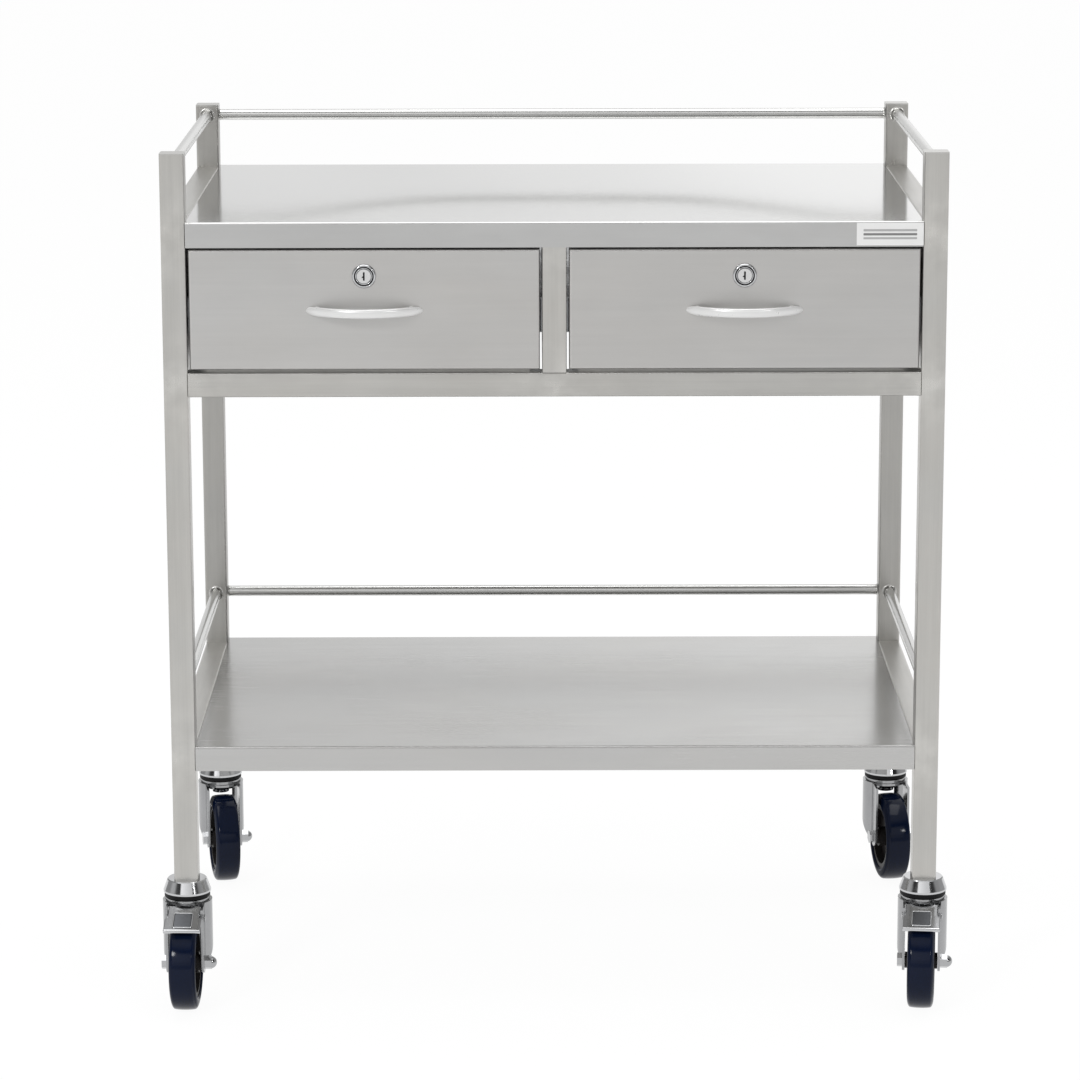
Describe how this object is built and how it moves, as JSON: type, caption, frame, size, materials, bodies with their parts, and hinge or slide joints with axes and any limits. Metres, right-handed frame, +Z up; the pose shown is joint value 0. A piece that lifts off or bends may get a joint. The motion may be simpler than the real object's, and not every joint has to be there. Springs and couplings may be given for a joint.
{
  "type": "instrument cart",
  "caption": "Stainless square-tube instrument cart with top and lower shelves, side-by-side locking drawers, guard rails on the back and sides, and swivel casters with front brakes.",
  "frame": {"origin": "on the floor, under the middle of the cart's bounding box", "axes": "+Z up, -Y towards the drawer fronts, +X to the right as seen from the front"},
  "size_m": [0.8373, 0.5666, 0.9],
  "materials": {
    "tube": "satin brushed",
    "shelf": "polished, faint grain",
    "drawer": "satin brushed",
    "panel": "satin",
    "rail": "polished",
    "slide": "zinc plated",
    "chrome": "bright chrome",
    "handle": "satin silver",
    "lock": "polished chrome",
    "screw": "zinc plated",
    "seal": "matte black",
    "socket": "matte black",
    "tread": "glossy polyurethane",
    "wheel_core": "satin black nylon",
    "plate": "white printed"
  },
  "bodies": {
    "frame": {"leg_front_left": "tube", "leg_front_right": "tube", "leg_back_left": "tube", "leg_back_right": "tube", "leg_caps": "tube", "leg_sockets": "socket", "top_shelf": "shelf", "lower_shelf": "shelf", "shelf_side_rails": "tube", "drawer_rails_long": "tube", "drawer_rails_cross": "tube", "centre_posts": "tube", "side_panels": "panel", "centre_panels": "panel", "top_guard_rails": "rail", "lower_guard_rails": "rail", "slide_outer_members": "slide", "lock_strikes": "slide", "name_plate": "plate", "caster_heads": "chrome", "caster_seals": "seal", "caster_king_bolts": "chrome"},
    "drawer_left": {"drawer_box_left": "drawer", "drawer_front_left": "drawer", "handle_left": "handle", "handle_screws_left": "screw", "lock_body_left": "lock", "lock_nut_left": "lock", "slide_inner_left": "slide"},
    "lock_left": {"lock_plug_left": "lock", "lock_cam_left": "lock"},
    "slides_left": {"slide_middle_left": "slide"},
    "drawer_right": {"drawer_box_right": "drawer", "drawer_front_right": "drawer", "handle_right": "handle", "handle_screws_right": "screw", "lock_body_right": "lock", "lock_nut_right": "lock", "slide_inner_right": "slide"},
    "lock_right": {"lock_plug_right": "lock", "lock_cam_right": "lock"},
    "slides_right": {"slide_middle_right": "slide"},
    "caster_front_left": {"fork_front_left": "chrome", "axle_front_left": "chrome"},
    "wheel_front_left": {"tyre_front_left": "tread", "hub_front_left": "wheel_core"},
    "caster_front_right": {"fork_front_right": "chrome", "axle_front_right": "chrome"},
    "wheel_front_right": {"tyre_front_right": "tread", "hub_front_right": "wheel_core"},
    "caster_back_left": {"fork_back_left": "chrome", "axle_back_left": "chrome"},
    "wheel_back_left": {"tyre_back_left": "tread", "hub_back_left": "wheel_core"},
    "caster_back_right": {"fork_back_right": "chrome", "axle_back_right": "chrome"},
    "wheel_back_right": {"tyre_back_right": "tread", "hub_back_right": "wheel_core"},
    "pedal_front_left": {"brake_front_left": "chrome"},
    "pedal_front_right": {"brake_front_right": "chrome"}
  },
  "joints": [
    {"name": "drawer_left_slide", "type": "slide", "parent": "frame", "child": "drawer_left", "axis": [0, -1, 0], "range_m": [0, 0.4]},
    {"name": "slides_left_extend", "type": "slide", "parent": "frame", "child": "slides_left", "axis": [0, -1, 0], "range_m": [0, 0.2]},
    {"name": "lock_left_turn", "type": "hinge", "parent": "drawer_left", "child": "lock_left", "pos_m": [-0.19375, -0.219, 0.775], "axis": [0, 1, 0], "range_deg": [0, 90]},
    {"name": "drawer_right_slide", "type": "slide", "parent": "frame", "child": "drawer_right", "axis": [0, -1, 0], "range_m": [0, 0.4]},
    {"name": "slides_right_extend", "type": "slide", "parent": "frame", "child": "slides_right", "axis": [0, -1, 0], "range_m": [0, 0.2]},
    {"name": "lock_right_turn", "type": "hinge", "parent": "drawer_right", "child": "lock_right", "pos_m": [0.19375, -0.219, 0.775], "axis": [0, 1, 0], "range_deg": [0, 90]},
    {"name": "swivel_front_left", "type": "hinge", "parent": "frame", "child": "caster_front_left", "pos_m": [-0.3875, -0.2065, 0.112], "axis": [0, 0, 1], "continuous": true},
    {"name": "wheel_front_left_spin", "type": "hinge", "parent": "caster_front_left", "child": "wheel_front_left", "pos_m": [-0.38818, -0.23249, 0.05], "axis": [0.9997, -0.0262, 0], "continuous": true},
    {"name": "swivel_front_right", "type": "hinge", "parent": "frame", "child": "caster_front_right", "pos_m": [0.3875, -0.2065, 0.112], "axis": [0, 0, 1], "continuous": true},
    {"name": "wheel_front_right_spin", "type": "hinge", "parent": "caster_front_right", "child": "wheel_front_right", "pos_m": [0.38456, -0.23233, 0.05], "axis": [0.9936, -0.1132, 0], "continuous": true},
    {"name": "swivel_back_left", "type": "hinge", "parent": "frame", "child": "caster_back_left", "pos_m": [-0.3875, 0.2585, 0.112], "axis": [0, 0, 1], "continuous": true},
    {"name": "wheel_back_left_spin", "type": "hinge", "parent": "caster_back_left", "child": "wheel_back_left", "pos_m": [-0.38254, 0.23298, 0.05], "axis": [0.9816, 0.1908, 0], "continuous": true},
    {"name": "swivel_back_right", "type": "hinge", "parent": "frame", "child": "caster_back_right", "pos_m": [0.3875, 0.2585, 0.112], "axis": [0, 0, 1], "continuous": true},
    {"name": "wheel_back_right_spin", "type": "hinge", "parent": "caster_back_right", "child": "wheel_back_right", "pos_m": [0.39157, 0.23282, 0.05], "axis": [0.9877, 0.1564, 0], "continuous": true},
    {"name": "brake_front_left_press", "type": "hinge", "parent": "caster_front_left", "child": "pedal_front_left", "pos_m": [-0.38808, -0.22849, 0.097], "axis": [0.9997, -0.0262, 0], "range_deg": [0, 7]},
    {"name": "brake_front_right_press", "type": "hinge", "parent": "caster_front_right", "child": "pedal_front_right", "pos_m": [0.38501, -0.22836, 0.097], "axis": [0.9936, -0.1132, 0], "range_deg": [0, 7]}
  ],
  "couplings": [
    {"joint": "slides_left_extend", "follows": "drawer_left_slide", "ratio": 0.5},
    {"joint": "slides_right_extend", "follows": "drawer_right_slide", "ratio": 0.5}
  ]
}
